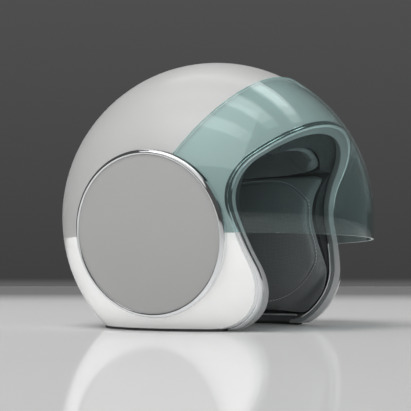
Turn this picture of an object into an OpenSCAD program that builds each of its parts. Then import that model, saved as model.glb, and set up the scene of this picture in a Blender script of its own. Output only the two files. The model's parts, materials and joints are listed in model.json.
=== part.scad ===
// Open-face helmet with a flip-up bubble visor, built as its separate pieces.
// Everything is drawn about the centre of the shell's sphere, then lifted to stand on the ground.
// The face looks towards -Y, the wearer's left is +X and up is +Z.

/* [Shell] */
// Outer radius of the shell, which is part of a sphere
shell_r = 138; // [134:1:144]
// Wall thickness of the shell
shell_wall = 4.5; // [3.5:0.25:5.5]
// Height of the sphere's centre above the shell's lower edge
base_drop = 96; // [93:1:99]
// Drop of the two-colour line below the sphere's centre
split_drop = 21; // [18:1:24]
// Thickness of the lower colour band
band_t = 2.2; // [1.6:0.1:2.6]
// How far the lower colour band stands proud of the shell
band_proud = 0.3; // [0:0.1:0.4]
// Height of the rubber foot strip under the shell's lower edge
foot_h = 2; // [1.5:0.5:4]

/* [Face opening] */
// Reach of the cheeks in front of the sphere's centre
cheek_reach = 79.5; // [76:0.5:82]
// Radius of the cheek's lower front corner
cheek_r = 40; // [34:1:42]
// Reach of the opening's rearmost edge, at the temple
temple_reach = 65.5; // [65:0.5:70]
// Radius of the temple curve
temple_r = 50.5; // [46:0.5:54]
// Height of the temple curve above the sphere's centre
temple_rise = 7; // [4:1:10]
// Slope of the brow line above horizontal
brow_slope = 46; // [42:1:50]

/* [Rim] */
// Width of the polished trim round the opening
trim_w = 4.2; // [3:0.1:5]
// Thickness of the polished trim
trim_t = 3.3; // [2.5:0.1:4]
// Depth of the grey rim band behind the shell's edge
rim_back = 3; // [2:0.25:5]
// Reach of the grey rim band inside the shell
rim_depth = 8; // [4:0.5:10]
// Diameter of the thin piping inside the rim
piping_d = 1.6; // [1.2:0.1:2]

/* [Visor] */
// Gap between the shell and the visor
visor_gap = 0.7; // [0.6:0.1:1.2]
// Thickness of the visor
visor_t = 2.2; // [1.8:0.1:2.6]
// Angle of the closed visor's top edge above horizontal
visor_top = 57.3; // [50:1:62]
// Furthest the visor turns up
visor_travel = 62; // [50:1:65]
// Radius from the pivot within which the visor's arm lies flat
arm_flat_r = 36; // [30:1:38]
// Radius from the pivot at which the arm joins the curved glass
arm_flare_r = 46; // [42:1:47]
// Step of the arm's flat part in from the curved glass
arm_step = 5.3; // [4.8:0.1:6]
// Angle of the arm's lower edge above horizontal
arm_low = 38; // [34:1:42]
// Radius of the round tab at the pivot
tab_r = 17; // [14:0.5:18]

/* [Side covers] */
// Tilt of the side cover's axis below horizontal
pod_tilt = 9.5; // [8:0.5:11]
// Radius of the painted side cover
cover_r = 64.3; // [60:0.1:66]
// Gap between the visor and the side cover
cover_gap = 0.4; // [0.3:0.05:1]
// Radius of the side cover's dome
dome_r = 300; // [250:10:400]
// Thickness of the side cover
cover_t = 1.5; // [1.2:0.1:1.6]
// Width of the polished ring round the side cover
bezel_w = 2; // [1.5:0.1:2.5]
// Height of the polished ring
bezel_h = 2.2; // [2:0.1:3]
// Height of the polished ring at its outer edge, to which its face slopes down
bezel_edge = 1; // [0.6:0.1:1.8]
// Depth of the pocket's floor below the side cover's edge
pocket_depth = 14; // [13.5:0.1:15]
// Thickness of the base plate on the pocket's floor
plate_t = 2; // [1.5:0.1:2.2]
// Radius of each post under the side cover
post_r = 3.5; // [3:0.1:4]
// Radius from the cover's axis at which its posts stand
post_at = 45; // [40:1:50]

/* [Pivot] */
// Radius of the pivot screw
screw_r = 2.5; // [2:0.1:3]
// Wall of the bush on the pivot screw
bush_wall = 1.5; // [1.2:0.1:2]
// Running clearance of the bush in the visor
bush_fit = 0.07; // [0.04:0.01:0.1]
// Radius of the boss that carries the pivot
boss_r = 9; // [8:0.5:11]
// Thickness of the friction washer
washer_t = 0.8; // [0.5:0.1:1.2]
// Radius of the pivot screw's head
head_r = 7; // [6:0.5:8]
// Height of the pivot screw's head
head_h = 2; // [1.5:0.1:2.4]

/* [Lining] */
// Thickness of the impact liner over the crown
liner_t = 27.5; // [23.5:0.5:31.5]
// Distance of the head space's flat sides from the shell's inner face
liner_side = 47.5; // [46.5:0.5:49.5]
// Height of the impact liner's lower edge above the shell's lower edge
liner_lift = 8; // [6:1:12]
// Thickness of the crown lining
crown_t = 9; // [6:1:12]
// Thickness of a cheek pad at the middle of its crowned face
pad_t = 13; // [10:1:16]
// Radius of the cheek pad's crowned face
pad_crown_r = 300; // [220:10:400]
// How far the cheek pad's lip, which follows the rim, stands inside the piping
pad_lip_t = 3; // [2:0.5:5]
// Radius of the round sewn seam on the cheek pad
seam_r = 58; // [52:1:60]
// Radius of the sewn channel's section
seam_d = 1.6; // [1:0.1:2]
// Height of the cheek pad's top edge above the sphere's centre
pad_top = 45; // [38:1:46]
// Reach of the cheek pad behind the sphere's centre
pad_back = 52; // [46:1:56]
// Thickness of the neck pad
neck_pad_t = 11; // [8:1:14]

/* [Chin strap] */
// Width of the webbing
strap_w = 20; // [16:1:22]
// Thickness of the webbing
strap_t = 1.6; // [1.2:0.1:2]
// Distance of the strap's middle line behind the sphere's centre
strap_back = 14; // [10:1:16]
// Radius of the strap's rivet
rivet_r = 3; // [2.5:0.1:3.5]
// Length of the buckle
buckle_l = 36; // [32:1:40]
// Side play of the webbing in the buckle
buckle_play = 0.5; // [0.4:0.1:1.5]
// Radius of the buckle's pin
pin_r = 1.5; // [1.2:0.1:1.8]

/* [Hidden] */
$fn = 96;

far = 220;
seat_gap = 0.2;
overlap = 0.4;
shell_in = shell_r - shell_wall;
band_r = shell_r + band_proud;
band_seat_r = band_r - band_t;
visor_in = shell_r + visor_gap;
visor_r = visor_in + visor_t;
visor_low = split_drop - 0.3;
function on_ball(r, a) = sqrt(r * r - a * a);
cavity_r = shell_in - liner_t;
cavity_x = shell_in - liner_side;
pad_face = cavity_x - pad_t;
centre_y = (visor_r - shell_r) / 2;
centre_z = base_drop + foot_h;

// The opening's outline seen from the side: cheek corner, straight, temple curve and brow line
arc_steps = 18;
cheek_c = [cheek_reach - cheek_r, cheek_r - base_drop];
temple_c = [temple_reach + temple_r, temple_rise];
span_c = temple_c - cheek_c;
lean = atan2(span_c[1], span_c[0]) + asin((cheek_r + temple_r) / norm(span_c)) - 90;

function arc(c, r, a0, a1) =
    [for (i = [0:arc_steps]) let (a = a0 + (a1 - a0) * i / arc_steps) [-c[0] - r * cos(a), c[1] + r * sin(a)]];

// The outline moved by e millimetres into the opening, closed far in front of the face
function outline(e) = let (
    cheek = arc(cheek_c, cheek_r + e, -90, lean),
    temple = arc(temple_c, temple_r - e, 180 + lean, 90 + brow_slope),
    last = temple[arc_steps]
) concat(cheek, temple, [
    last + far * [-cos(brow_slope), sin(brow_slope)],
    [-2 * far, far],
    [-2 * far, -far],
    [-cheek_c[0], -far]
]);

module placed() { translate([0, centre_y, centre_z]) children(); }
module both() { children(); mirror([1, 0, 0]) children(); }
module on_side(s) { if (s > 0) children(); else mirror([1, 0, 0]) children(); }
module across() { rotate([90, 0, 90]) translate([0, 0, -far]) linear_extrude(2 * far) children(); }
module opening_cut(e) { across() polygon(outline(e)); }
module rim_zone(e0, e1) { difference() { opening_cut(e0); opening_cut(e1); } }
module ball_zone(r0, r1) { difference() { sphere(r1); sphere(r0); } }
module above(z) { translate([-far, -far, z]) cube([2 * far, 2 * far, 2 * far]); }
module below(z) { mirror([0, 0, 1]) above(-z); }

// The frame of a side cover on the wearer's left: its axis is Z, X points down and Y back
module pod() { rotate([0, 90 + pod_tilt, 0]) children(); }
// The frame of the visor's pivot on the wearer's left: its axis is Z, X points down and Y back
module pivot() { rotate([0, 90, 0]) children(); }

// The visor's glass ends just under the side cover's edge, which clears it by the gap
tuck = 2.2;
glass_end_r = cover_r - tuck;
cover_drop = on_ball(dome_r, cover_r) - on_ball(dome_r - cover_t, glass_end_r);
cover_edge = on_ball(visor_r, glass_end_r) + cover_gap + cover_drop;
cover_low = cover_edge - cover_t;
pocket_floor = cover_edge - pocket_depth;
arm_x = on_ball(visor_in, arm_flare_r) - arm_step;
bezel_r = cover_r + bezel_w;
pocket_r = bezel_r + 0.3;
plate_r = cover_r - 2;
skirt_wall = 2;
skirt_r = glass_end_r - 0.8;
skirt_from = -90 - arm_low;
skirt_to = 270 - visor_top - visor_travel;
plate_top = pocket_floor + plate_t;
post_angles = [-60, 20, 100];
plate_screw_angles = [-30, 60, 150];
plate_screw_at = 32;
plate_screw_r = 1.75;
plate_screw_head_r = 3.2;
plate_screw_head_h = 1.2;
peg_r = 2;
peg_fit = 0.05;
rivet_at = [24, strap_back];

module pockets(floor_at, r) { both() pod() translate([0, 0, floor_at]) cylinder(r = r, h = far); }
module pocket_walls(gap) { pockets(pocket_floor - shell_wall - gap, pocket_r + shell_wall + seat_gap); }

module outer_shell() {
    color([0.78, 0.78, 0.77]) placed() difference() {
        union() {
            difference() { sphere(shell_r); below(-split_drop); }
            difference() { sphere(band_seat_r - seat_gap / 4); above(-split_drop + overlap); }
        }
        difference() { sphere(shell_in); pockets(pocket_floor - shell_wall, pocket_r + shell_wall); }
        below(-base_drop);
        opening_cut(0);
        pockets(pocket_floor, pocket_r);
        both() pod() {
            for (a = plate_screw_angles) rotate([0, 0, a])
                translate([plate_screw_at, 0, 0]) cylinder(r = plate_screw_r + peg_fit, h = far);
            translate(rivet_at) cylinder(r = rivet_r + peg_fit, h = far);
        }
    }
}

module lower_band() {
    color([0.97, 0.97, 0.97]) placed() difference() {
        ball_zone(band_seat_r, band_r);
        above(-split_drop);
        below(-base_drop);
        opening_cut(0);
        pockets(pocket_floor, pocket_r);
    }
}

// The strip stands under the shell's lower edge and reaches inwards under the neck roll
foot_out_r = on_ball(band_r, base_drop) - 0.4;
foot_in_r = on_ball(shell_in, base_drop) - 2;
module foot_strip() {
    color([0.16, 0.16, 0.17]) placed() difference() {
        translate([0, 0, -base_drop - foot_h]) cylinder(r = foot_out_r, h = foot_h);
        translate([0, 0, -base_drop - foot_h - 1]) cylinder(r = foot_in_r, h = foot_h + 2);
        translate([-far, -far - cheek_c[0] - 8, -far]) cube([2 * far, far, 2 * far]);
    }
}

trim_out_r = visor_in - 0.4;
trim_in_r = trim_out_r - trim_t;
module edge_trim() {
    color([0.85, 0.86, 0.87]) placed() difference() {
        intersection() { rim_zone(seat_gap, trim_w); ball_zone(trim_in_r, trim_out_r); }
        below(-base_drop);
        translate([-far, -cheek_c[0] - 6, -far]) cube([2 * far, far, 2 * far]);
    }
}

rim_in_r = shell_in - rim_depth;
module rim_band() {
    color([0.52, 0.55, 0.56]) placed() difference() {
        union() {
            intersection() { rim_zone(-rim_back, trim_w); ball_zone(rim_in_r, shell_in - seat_gap); }
            intersection() {
                rim_zone(seat_gap, trim_w);
                ball_zone(shell_in - 2 * seat_gap, trim_in_r - seat_gap);
            }
        }
        below(-base_drop);
        translate([-far, -cheek_c[0] - 2, -far]) cube([2 * far, far, 2 * far]);
        pocket_walls(seat_gap);
    }
}

// The neck roll closes the shell's lower edge behind the cheeks. The piping runs along its top, and up the
// rim's inner edge at each cheek to the height of the colour line
roll_h = liner_lift - piping_d - 2 * seat_gap;
roll_w = 3;
roll_out_r = on_ball(shell_in, base_drop) - seat_gap;
roll_in_r = roll_out_r - roll_w;
mouth_x = (pocket_floor - shell_wall - base_drop * sin(pod_tilt)) / cos(pod_tilt) - seat_gap;
mouth_in = min(roll_in_r, mouth_x - roll_w);
module behind_cheeks(reach) {
    difference() { children(); translate([-far, -far - reach, -far]) cube([2 * far, far, 2 * far]); }
}
// The shell's mouth between the walls of the pockets, drawn in all round
module mouth(inset, h) {
    intersection() {
        cylinder(r = roll_out_r - inset, h = h);
        translate([inset - mouth_x, -far, 0]) cube([2 * (mouth_x - inset), 2 * far, h]);
    }
}
module neck_roll() {
    color([0.22, 0.23, 0.24]) placed() behind_cheeks(cheek_c[0] + 1.5) difference() {
        translate([0, 0, -base_drop]) mouth(0, roll_h);
        translate([0, 0, -base_drop - 1]) mouth(roll_w, roll_h + 2);
    }
}

piping_r = rim_in_r - seat_gap;
module inner_piping() {
    color([0.88, 0.89, 0.9]) placed() {
        difference() {
            intersection() {
                rim_zone(-rim_back, piping_d - rim_back);
                ball_zone(piping_r - piping_d, piping_r);
            }
            above(-split_drop);
            below(-base_drop + roll_h);
            pocket_walls(seat_gap);
        }
        behind_cheeks(cheek_c[0] + 6) difference() {
            translate([0, 0, -base_drop + roll_h + seat_gap]) mouth(roll_w - piping_d, piping_d);
            translate([0, 0, -base_drop]) mouth(roll_w, liner_lift);
        }
    }
}

// The head space: a ball above, a cone below and a box that opens it forwards between the cheeks
cone_top = 20;
cone_narrow = 18;
front_top = pad_top + seat_gap;
module head_space(r, half_w) {
    intersection() {
        union() {
            sphere(r);
            translate([0, 0, -base_drop - 4])
                cylinder(r1 = r - cone_narrow, r2 = on_ball(r, cone_top), h = base_drop + 4 - cone_top);
            translate([-far, -far, -far]) cube([2 * far, far, far + front_top]);
        }
        translate([-half_w, -far, -far]) cube([2 * half_w, 2 * far, 2 * far]);
    }
}

snap_r = 6;
snap_h = 3;
snap_sink = 1.5;
snap_points = [[-50, -30], [8, -66], [36, 8]];
module at_snaps() {
    for (p = snap_points) translate([cavity_x - snap_sink, p[0], p[1]]) pivot() children();
}

liner_low = -base_drop + liner_lift;
slot_w = strap_w + 3;
module strap_slot() {
    translate([0, strap_back + slot_w / 2, 0]) rotate([90, 0, 0]) linear_extrude(slot_w) children();
}
module impact_liner() {
    color([0.2, 0.2, 0.21]) placed() difference() {
        sphere(shell_in - 2 * seat_gap);
        head_space(cavity_r, cavity_x);
        pocket_walls(2 * seat_gap);
        below(liner_low);
        opening_cut(-rim_back - seat_gap);
        both() {
            at_snaps() cylinder(r = snap_r + seat_gap, h = snap_h + seat_gap);
            strap_slot() strap_room();
            pod() translate([rivet_at[0], rivet_at[1], pocket_floor - shell_wall - 8])
                cylinder(r = rivet_head_r + 4, h = 12);
        }
    }
}

crown_low = -22;
lip_t = 1.6;
module pad_outline(grow) {
    across() intersection() {
        difference() {
            translate([-far, -base_drop + liner_lift + 1 - grow])
                square([far + pad_back + grow, base_drop - liner_lift - 1 + pad_top + 2 * grow]);
            polygon(outline(lip_t - rim_back - seat_gap));
        }
        translate([-far, -far]) square(2 * far);
    }
}
module crown_lining() {
    color([0.23, 0.25, 0.26]) placed() difference() {
        head_space(cavity_r - seat_gap, cavity_x - seat_gap);
        head_space(cavity_r - crown_t, cavity_x - crown_t);
        below(crown_low);
        opening_cut(-rim_back - seat_gap);
        pad_outline(seat_gap * 2);
    }
}

// A cheek pad has a crowned face with one round sewn channel, and a lip that fills the shell behind the rim
seam_c = [-10, -17];
pad_rim_r = piping_r - piping_d - seat_gap;
module cheek_pad(s) {
    color([0.24, 0.26, 0.27]) placed() on_side(s) difference() {
        intersection() {
            head_space(cavity_r - seat_gap, cavity_x - seat_gap);
            pad_outline(0);
            union() {
                sphere(pad_rim_r);
                difference() { sphere(shell_in - 2 * seat_gap); opening_cut(-rim_back - seat_gap); }
            }
            union() {
                translate([pad_face + pad_crown_r, seam_c[0], seam_c[1]]) sphere(pad_crown_r, $fn = 360);
                ball_zone(pad_rim_r - pad_lip_t, shell_r);
            }
            translate([pad_lip_t, -far, -far]) cube(2 * far);
        }
        translate([pad_face + seam_r * seam_r / (2 * pad_crown_r), seam_c[0], seam_c[1]])
            pivot() rotate_extrude() translate([seam_r, 0]) circle(seam_d);
        strap_slot() strap_room();
        at_snaps() cylinder(r = snap_r + seat_gap, h = snap_h, center = true);
    }
}

module neck_pad() {
    color([0.24, 0.26, 0.27]) placed() difference() {
        head_space(cavity_r - seat_gap, cavity_x - seat_gap);
        head_space(cavity_r - neck_pad_t, far);
        above(crown_low - 2 * seat_gap);
        below(liner_low + 1);
        translate([-far, pad_back + 2 * seat_gap - 2 * far, -far]) cube(2 * far);
    }
}

module pad_snaps() {
    color([0.7, 0.71, 0.72]) placed() both() at_snaps() cylinder(r = snap_r, h = snap_h);
}

// The visor's section from its pivot out to the curved glass, turned about the pivot's axis
bush_r = screw_r + bush_wall;
visor_bore_r = bush_r + bush_fit;
module visor_section() {
    intersection() {
        difference() { circle(visor_r, $fn = 192); circle(visor_in, $fn = 192); }
        translate([arm_flare_r, -far]) square([far, 2 * far]);
    }
    for (m = [0, 1]) mirror([0, m]) polygon([
        [visor_bore_r, arm_x],
        [arm_flat_r, arm_x],
        [arm_flare_r, on_ball(visor_in, arm_flare_r)],
        [arm_flare_r + overlap, on_ball(visor_in, arm_flare_r + overlap)],
        [arm_flare_r + overlap, on_ball(visor_r, arm_flare_r + overlap)],
        [arm_flare_r, on_ball(visor_r, arm_flare_r)],
        [arm_flat_r, arm_x + visor_t],
        [visor_bore_r, arm_x + visor_t]
    ]);
}
arm_root = arm_flare_r + 9;
module visor_half() {
    difference() {
        intersection() {
            pivot() rotate_extrude() visor_section();
            across() polygon([
                [0, 0],
                far * [-cos(visor_top), sin(visor_top)],
                [-2 * far, far],
                [-2 * far, -visor_low],
                [visor_low / tan(visor_top), -visor_low]
            ]);
        }
        pod() cylinder(r = glass_end_r, h = far);
        translate([-far, -far, -far]) cube([far, 2 * far, 2 * far]);
    }
    intersection() {
        pivot() rotate_extrude() visor_section();
        union() {
            pivot() linear_extrude(far) polygon([
                [0, 0],
                arm_root * [-sin(visor_top), -cos(visor_top)],
                arm_root * [-sin(arm_low), -cos(arm_low)]
            ]);
            pivot() cylinder(r = tab_r, h = far);
        }
    }
}
module visor() { color([0.42, 0.66, 0.65]) placed() both() visor_half(); }

boss_top = arm_x - washer_t - 0.1;
screw_seat = arm_x + visor_t + 0.15;
module base_plate(s) {
    color([0.25, 0.26, 0.27]) placed() on_side(s) difference() {
        union() {
            pod() translate([0, 0, pocket_floor]) cylinder(r = plate_r, h = plate_t);
            pod() rotate([0, 0, skirt_from]) rotate_extrude(angle = skirt_to - skirt_from)
                translate([skirt_r - skirt_wall, pocket_floor + plate_t / 2])
                    square([skirt_wall, cover_low - pocket_floor - plate_t / 2 - 0.6]);
            intersection() {
                pivot() cylinder(r = boss_r, h = boss_top);
                pod() translate([0, 0, pocket_floor + plate_t / 2]) cylinder(r = plate_r / 2, h = far);
            }
        }
        pivot() cylinder(r = screw_r + peg_fit, h = far);
        pod() {
            for (a = plate_screw_angles) rotate([0, 0, a]) translate([plate_screw_at, 0, 0]) {
                cylinder(r = plate_screw_r + peg_fit, h = far);
                translate([0, 0, plate_top - plate_screw_head_h])
                    cylinder(r = plate_screw_head_r + seat_gap, h = 4);
            }
            for (a = post_angles)
                rotate([0, 0, a]) translate([post_at, 0, 0]) cylinder(r = peg_r + peg_fit, h = far);
            translate(rivet_at) cylinder(r = rivet_head_r + seat_gap, h = far);
        }
    }
}

module plate_screws() {
    color([0.6, 0.61, 0.62]) placed() both() pod() for (a = plate_screw_angles)
        rotate([0, 0, a]) translate([plate_screw_at, 0, 0]) {
            translate([0, 0, pocket_floor - shell_wall]) cylinder(r = plate_screw_r, h = plate_t + shell_wall);
            translate([0, 0, plate_top - plate_screw_head_h])
                cylinder(r = plate_screw_head_r, h = plate_screw_head_h);
        }
}

module friction_washers() {
    color([0.72, 0.6, 0.35]) placed() both() pivot() difference() {
        translate([0, 0, boss_top]) cylinder(r = boss_r - 0.5, h = washer_t);
        cylinder(r = bush_r + 0.3, h = far);
    }
}

module pivot_bushes() {
    color([0.8, 0.78, 0.7]) placed() both() pivot() difference() {
        translate([0, 0, boss_top]) cylinder(r = bush_r, h = screw_seat - boss_top);
        cylinder(r = screw_r + peg_fit, h = far);
    }
}

module pivot_screws() {
    color([0.6, 0.61, 0.62]) placed() both() pivot() difference() {
        union() {
            translate([0, 0, pocket_floor + 4])
                cylinder(r = screw_r, h = screw_seat - pocket_floor - 4 + overlap);
            translate([0, 0, screw_seat]) cylinder(r = head_r, h = head_h);
        }
        translate([0, 0, screw_seat + head_h - 1]) cylinder(r = 2, h = 4, $fn = 6);
    }
}

dome_c = cover_edge - on_ball(dome_r, cover_r);
module side_cover(s) {
    color([0.68, 0.68, 0.67]) placed() on_side(s) pod() {
        difference() {
            translate([0, 0, dome_c]) sphere(dome_r, $fn = 192);
            translate([0, 0, dome_c]) sphere(dome_r - cover_t, $fn = 192);
            mirror([0, 0, 1]) translate([0, 0, -cover_low]) cylinder(r = 2 * far, h = 4 * far);
            difference() {
                translate([0, 0, -far]) cylinder(r = 2 * far, h = 4 * far);
                translate([0, 0, -far - 1]) cylinder(r = cover_r, h = 4 * far + 2);
            }
        }
        for (a = post_angles) rotate([0, 0, a]) translate([post_at, 0, 0]) {
            translate([0, 0, plate_top + 0.1]) cylinder(r = post_r, h = post_top - plate_top);
            translate([0, 0, pocket_floor + 0.2]) cylinder(r = peg_r, h = plate_t + 2);
        }
    }
}
post_top = dome_c + on_ball(dome_r - cover_t, post_at + post_r) + 0.5;

module bezel_ring(s) {
    color([0.88, 0.89, 0.9]) placed() on_side(s) pod() rotate_extrude()
        translate([cover_r + 0.05, cover_low]) polygon([
            [0, 0],
            [bezel_w - 0.05, 0],
            [bezel_w - 0.05, bezel_edge],
            [bezel_w / 5, bezel_h],
            [0, bezel_h]
        ]);
}

// Chin strap: each half hangs from its rivet, passes under the cheek pad and crosses the neck opening
rivet_head_r = 5;
rivet_head_h = 1.6;
tab_t = 1.5;
tab_l = 30;
tab_up = 8;
tab_lap = 11;
module anchor_tabs() {
    color([0.55, 0.56, 0.57]) placed() both() pod() difference() {
        translate([rivet_at[0] - tab_up, rivet_at[1] - strap_w / 2 - 1, pocket_floor - shell_wall - tab_t - 0.1])
            cube([tab_l, strap_w + 2, tab_t]);
        translate([rivet_at[0], rivet_at[1], 0]) cylinder(r = rivet_r + peg_fit, h = far);
    }
}
module strap_rivets() {
    color([0.6, 0.61, 0.62]) placed() both() pod() translate([rivet_at[0], rivet_at[1], 0]) {
        translate([0, 0, pocket_floor]) cylinder(r = rivet_head_r, h = rivet_head_h);
        translate([0, 0, pocket_floor - shell_wall - tab_t - 0.2])
            cylinder(r = rivet_r, h = shell_wall + tab_t + 0.4);
        translate([0, 0, pocket_floor - shell_wall - tab_t - 1.6]) cylinder(r = rivet_head_r, h = 1.4);
    }
}

strap_z = -base_drop + 4;
tab_plane = pocket_floor - shell_wall - tab_t - 0.3;
function tab_x(z) = (tab_plane + z * sin(pod_tilt)) / cos(pod_tilt) - strap_t / 2;
function tab_z(along) = -along * cos(pod_tilt) - tab_plane * sin(pod_tilt);
tab_top = tab_z(rivet_at[0] - tab_up);
tab_end = tab_z(rivet_at[0] - tab_up + tab_l);
strap_path = [
    [tab_x(tab_end + tab_lap), tab_end + tab_lap],
    [tab_x(tab_end - tab_lap), tab_end - tab_lap],
    [mouth_in - 1.9, -base_drop + 12.5],
    [mouth_in - 4.6, -base_drop + 8.4],
    [mouth_in - 7.6, strap_z + 1.2],
    [mouth_in - 12.6, strap_z]
];
function dir2(a, b) = (b - a) / norm(b - a);
function turn_at(p, i) = let (
    n = len(p),
    d0 = dir2(p[max(i - 1, 0)], p[max(i, 1)]),
    d1 = dir2(p[min(i, n - 2)], p[min(i + 1, n - 1)]),
    m = dir2([0, 0], d0 + d1)
) [-m[1], m[0]] / (m * d0);
function ribbon(p, t) = concat(
    [for (i = [0:len(p) - 1]) p[i] + turn_at(p, i) * t / 2],
    [for (i = [len(p) - 1:-1:0]) p[i] - turn_at(p, i) * t / 2]
);
module strap_room() { polygon(ribbon(concat([[tab_x(tab_top + 2), tab_top + 2]], strap_path), strap_t + 5)); }

buckle_mid = -20;
buckle_in = strap_w + 2 * buckle_play;
buckle_right = buckle_mid - buckle_l / 2;
buckle_left = buckle_mid + buckle_l / 2;
strap_left_end = 3;
module webbing(end_path) {
    translate([0, strap_back + strap_w / 2, 0]) rotate([90, 0, 0])
        linear_extrude(strap_w) polygon(ribbon(concat(strap_path, end_path), strap_t));
}
module chin_strap_left() {
    color([0.12, 0.12, 0.13]) placed() difference() {
        webbing([[strap_left_end, strap_z]]);
        at_ladder_rivets() cylinder(r = ladder_rivet_r + peg_fit, h = far, center = true);
    }
}

// The right half passes under the buckle's bar, turns back over it and is sewn to itself
bar_r = 1.2;
bar_x = -buckle_right - 3;
bar_z = strap_z + strap_t / 2 + bar_r + 0.1;
turn_r = bar_r + strap_t / 2 + 0.1;
fold_l = 16;
fold_z = strap_z + strap_t + 0.1;
module chin_strap_right() {
    color([0.12, 0.12, 0.13]) placed() mirror([1, 0, 0]) webbing(concat(
        [for (a = [-90:-30:-300]) [bar_x + turn_r * cos(a), bar_z + turn_r * sin(a)]],
        [[bar_x + 5, fold_z], [bar_x + fold_l, fold_z]]
    ));
}

// Ratchet ladder on the left strap's end, reaching into the buckle
ladder_w = 14;
ladder_t = 1.4;
ladder_tail = 22;
ladder_z = strap_z + strap_t / 2 + 0.1;
tooth_pitch = 2.6;
tooth_h = 1;
tooth_count = 9;
module ladder_strip() {
    color([0.2, 0.2, 0.22]) placed() difference() {
        union() {
            translate([buckle_right + 8, strap_back - ladder_w / 2, ladder_z])
                cube([ladder_tail - buckle_right - 8, ladder_w, ladder_t]);
            translate([buckle_right + 9, strap_back + ladder_w / 2, ladder_z + ladder_t - 0.01])
                rotate([90, 0, 0]) linear_extrude(ladder_w) for (i = [0:tooth_count - 1])
                    translate([i * tooth_pitch, 0]) polygon([[0, 0], [tooth_pitch - 0.4, 0], [0, tooth_h]]);
        }
        at_ladder_rivets() cylinder(r = ladder_rivet_r + peg_fit, h = far, center = true);
    }
}
ladder_rivet_r = 1.5;
module at_ladder_rivets() {
    for (x = [strap_left_end + 5, ladder_tail - 4]) translate([x, strap_back, ladder_z]) children();
}
module ladder_rivets() {
    color([0.6, 0.61, 0.62]) placed() at_ladder_rivets() {
        translate([0, 0, -strap_t - 0.2]) cylinder(r = ladder_rivet_r, h = strap_t + ladder_t + 0.3);
        translate([0, 0, ladder_t]) cylinder(r = ladder_rivet_r + 1.2, h = 0.8);
        translate([0, 0, -strap_t - 0.9]) cylinder(r = ladder_rivet_r + 1.2, h = 0.8);
    }
}

// Quick-release buckle, stowed with its lever upwards
frame_t = 1.2;
frame_z = ladder_z - frame_t - 0.15;
frame_wall = 1.6;
frame_h = 9.5;
frame_open = 6.8;
pin_x = buckle_left - 9;
knuckle_wall = 1.6;
knuckle_r = pin_r + knuckle_wall;
pin_z = ladder_z + ladder_t + tooth_h + knuckle_r + 0.4;
module buckle_frame() {
    color([0.33, 0.34, 0.35]) placed() translate([0, strap_back, 0]) difference() {
        union() {
            translate([buckle_right + frame_open, -buckle_in / 2 - frame_wall, frame_z])
                cube([buckle_l - frame_open, buckle_in + 2 * frame_wall, frame_t]);
            for (side = [-1, 1])
                translate([buckle_right, side * (buckle_in + frame_wall) / 2 - frame_wall / 2, frame_z])
                    cube([buckle_l, frame_wall, frame_h]);
            translate([-bar_x, (buckle_in + frame_wall) / 2, bar_z])
                rotate([90, 0, 0]) cylinder(r = bar_r, h = buckle_in + frame_wall);
        }
        translate([pin_x, far, pin_z]) rotate([90, 0, 0]) cylinder(r = pin_r + peg_fit, h = 2 * far);
    }
}

lever_w = buckle_in - 0.8;
lever_t = 2;
spring_w = 7;
spring_r = pin_r + 1.3;
lever_top = pin_z + knuckle_r;
module buckle_lever() {
    color([0.62, 0.63, 0.64]) placed() translate([0, strap_back, 0]) difference() {
        union() {
            translate([buckle_right + 1, -lever_w / 2, lever_top - lever_t])
                cube([pin_x - buckle_right - 1, lever_w, lever_t]);
            translate([pin_x, lever_w / 2, pin_z]) rotate([90, 0, 0]) cylinder(r = knuckle_r, h = lever_w);
            translate([pin_x - 5, -ladder_w / 2 + 0.5, ladder_z + ladder_t + tooth_h + 0.3])
                cube([4, ladder_w - 1, 3]);
        }
        translate([pin_x, far, pin_z]) rotate([90, 0, 0]) cylinder(r = pin_r + peg_fit, h = 2 * far);
        translate([pin_x - knuckle_r - 0.4, -spring_w / 2 - 0.3, pin_z - 6])
            cube([2 * knuckle_r + 0.8, spring_w + 0.6, knuckle_r + 7]);
    }
}
module lever_pin() {
    color([0.75, 0.76, 0.77]) placed() translate([pin_x, strap_back + buckle_in / 2 + frame_wall, pin_z])
        rotate([90, 0, 0]) cylinder(r = pin_r, h = buckle_in + 2 * frame_wall);
}
module lever_spring() {
    color([0.75, 0.76, 0.77]) placed() translate([pin_x, strap_back + spring_w / 2, pin_z]) rotate([90, 0, 0])
        difference() {
            cylinder(r = spring_r, h = spring_w);
            translate([0, 0, -1]) cylinder(r = pin_r + 0.2, h = spring_w + 2);
        }
}
ribbon_w = 8;
ribbon_l = 16;
module pull_ribbon() {
    color([0.6, 0.12, 0.12]) placed()
        translate([buckle_right - ribbon_l + 7, strap_back - ribbon_w / 2, lever_top + 0.02])
            cube([ribbon_l, ribbon_w, 1]);
}

outer_shell();
lower_band();
foot_strip();
edge_trim();
rim_band();
inner_piping();
neck_roll();
impact_liner();
crown_lining();
cheek_pad(1);  // cheek_pad_left
cheek_pad(-1);  // cheek_pad_right
neck_pad();
pad_snaps();
visor();
base_plate(1);  // base_plate_left
base_plate(-1);  // base_plate_right
plate_screws();
friction_washers();
pivot_bushes();
pivot_screws();
side_cover(1);  // side_cover_left
side_cover(-1);  // side_cover_right
bezel_ring(1);  // bezel_ring_left
bezel_ring(-1);  // bezel_ring_right
anchor_tabs();
strap_rivets();
chin_strap_left();
chin_strap_right();
ladder_strip();
ladder_rivets();
buckle_frame();
buckle_lever();
lever_pin();
lever_spring();
pull_ribbon();
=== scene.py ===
# Open-face helmet with a flip-up bubble visor: surfaces, soft parts, light and camera.
import json
import math

import bmesh
import bpy
import numpy as np
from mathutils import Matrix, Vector
from mathutils.bvhtree import BVHTree


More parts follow.
